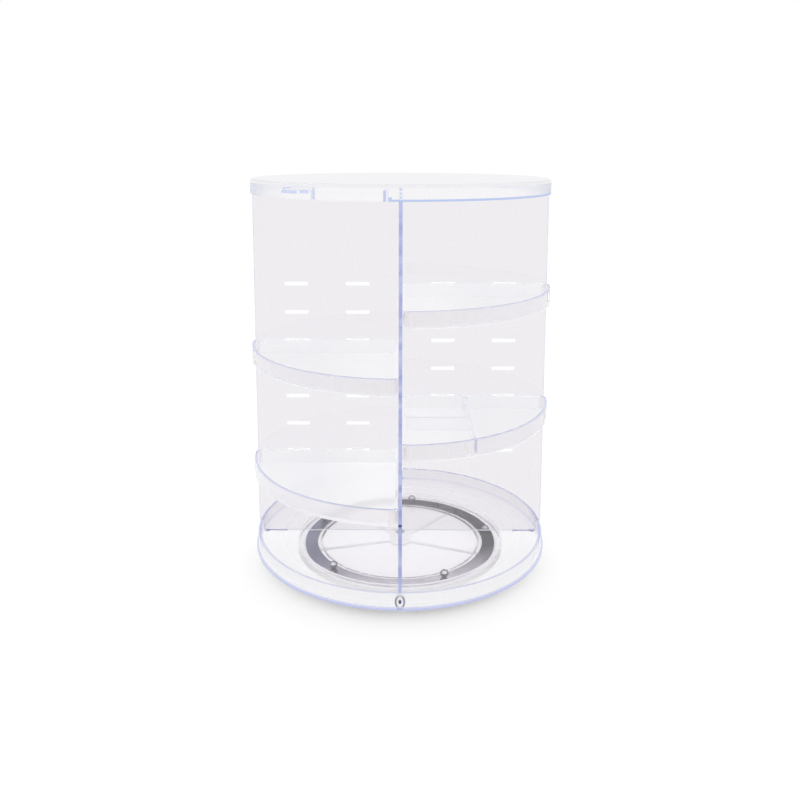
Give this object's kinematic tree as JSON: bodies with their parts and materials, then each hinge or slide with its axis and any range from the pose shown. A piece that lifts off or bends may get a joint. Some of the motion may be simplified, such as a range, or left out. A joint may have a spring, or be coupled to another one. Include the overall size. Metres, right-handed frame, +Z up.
{
  "type": "rotating tool storage caddy",
  "caption": "Clear round storage carousel: turntable base on a ball ring, crossed slotted panels, hook-in quarter trays, dividers and a lift-off round cap.",
  "frame": {"origin": "on the table under the turning axis, at the centre of the bounding box's bottom face", "axes": "+Z up along the turning axis, -Y towards the front with the trays, +X to the right"},
  "size_m": [0.2344, 0.2344, 0.305],
  "materials": {
    "clear_base": "clear gloss",
    "clear_cage": "clear gloss",
    "clear_panel": "clear gloss",
    "clear_tray": "clear gloss",
    "clear_divider": "clear gloss",
    "clear_cap": "clear gloss",
    "race_steel": "rolled",
    "ball_steel": "polished",
    "zinc_steel": "zinc plated",
    "foot_rubber": "matt"
  },
  "bodies": {
    "foot": {"foot_plate": "clear_base", "rubber_foot_1": "foot_rubber", "rubber_foot_2": "foot_rubber", "rubber_foot_3": "foot_rubber", "rubber_foot_4": "foot_rubber", "rubber_foot_5": "foot_rubber", "race_ring": "race_steel"},
    "ball_ring": {"ball_cage": "clear_cage", "ball_1": "ball_steel", "ball_2": "ball_steel", "ball_3": "ball_steel", "ball_4": "ball_steel", "ball_5": "ball_steel"},
    "turntable": {"turntable": "clear_base", "pivot_washer": "zinc_steel", "pivot_screw": "zinc_steel", "wide_panel": "clear_panel", "deep_panel": "clear_panel"},
    "tray_right_upper": {"tray_right_upper": "clear_tray"},
    "tray_left_upper": {"tray_left_upper": "clear_tray"},
    "tray_right_lower": {"tray_right_lower": "clear_tray"},
    "tray_left_lower": {"tray_left_lower": "clear_tray"},
    "dividers": {"divider_long": "clear_divider", "divider_cross": "clear_divider"},
    "cap": {"cap": "clear_cap"}
  },
  "joints": [
    {"name": "turntable_spin", "type": "hinge", "parent": "foot", "child": "turntable", "pos_m": [0, 0, 0.011], "axis": [0, 0, 1], "continuous": true},
    {"name": "ball_ring_spin", "type": "hinge", "parent": "foot", "child": "ball_ring", "pos_m": [0, 0, 0.008], "axis": [0, 0, 1], "continuous": true},
    {"name": "tray_right_upper_pull", "type": "slide", "parent": "turntable", "child": "tray_right_upper", "axis": [0.7071, -0.7071, 0], "range_m": [0, 0.1]},
    {"name": "tray_left_upper_pull", "type": "slide", "parent": "turntable", "child": "tray_left_upper", "axis": [-0.7071, -0.7071, 0], "range_m": [0, 0.1]},
    {"name": "tray_right_lower_pull", "type": "slide", "parent": "turntable", "child": "tray_right_lower", "axis": [0.7071, -0.7071, 0], "range_m": [0, 0.1]},
    {"name": "tray_left_lower_pull", "type": "slide", "parent": "turntable", "child": "tray_left_lower", "axis": [-0.7071, -0.7071, 0], "range_m": [0, 0.1]},
    {"name": "divider_lift", "type": "slide", "parent": "tray_right_lower", "child": "dividers", "axis": [0, 0, 1], "range_m": [0, 0.03]},
    {"name": "cap_lift", "type": "slide", "parent": "turntable", "child": "cap", "axis": [0, 0, 1], "range_m": [0, 0.06]}
  ],
  "couplings": [
    {"joint": "ball_ring_spin", "follows": "turntable_spin", "ratio": 0.5}
  ]
}
